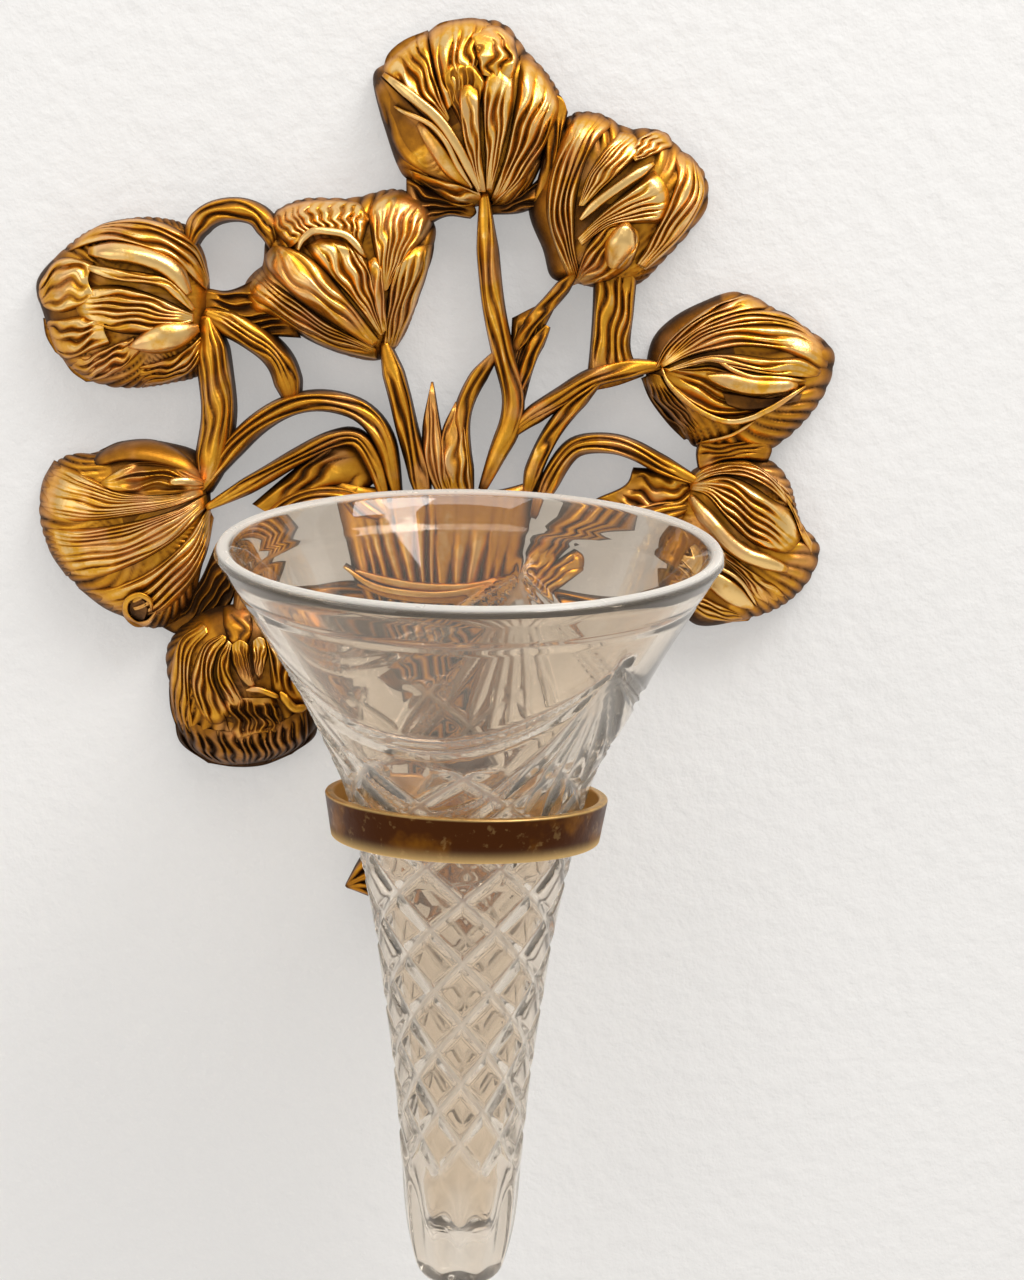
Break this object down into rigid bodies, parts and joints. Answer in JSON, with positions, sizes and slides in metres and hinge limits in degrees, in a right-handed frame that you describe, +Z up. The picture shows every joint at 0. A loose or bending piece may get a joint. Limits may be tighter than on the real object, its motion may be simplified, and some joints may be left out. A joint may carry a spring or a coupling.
{
  "type": "wall vase",
  "caption": "Cast brass bouquet of tulips that hangs flat on a wall, with a brass strap ring on its front that holds a loose cut-glass trumpet vase.",
  "frame": {"origin": "centre of the hanging hole, on the plane of the wall", "axes": "+Z up, +Y into the wall, the room is on the -Y side"},
  "size_m": [0.1889, 0.1227, 0.2856],
  "materials": {
    "cast_brass": "cast relief, polished on the ridges and dark brown in the hollows",
    "strap_brass": "aged brown brass strap with a worn bright top edge",
    "screw_brass": "plain turned brass",
    "glass": "clear glass with a faint champagne tint, polished wheel cuts"
  },
  "bodies": {
    "hanger": {"bouquet_casting": "cast_brass", "hanging_plate": "screw_brass", "plate_rivets": "screw_brass", "ring_arm": "cast_brass", "arm_screws": "screw_brass", "holder_ring": "strap_brass", "ring_screws": "screw_brass"},
    "vase": {"glass_vase": "glass"}
  },
  "joints": [
    {"name": "vase_lift", "type": "slide", "parent": "hanger", "child": "vase", "axis": [-0.014, -0.1504, 0.9885], "range_m": [0, 0.3]}
  ]
}
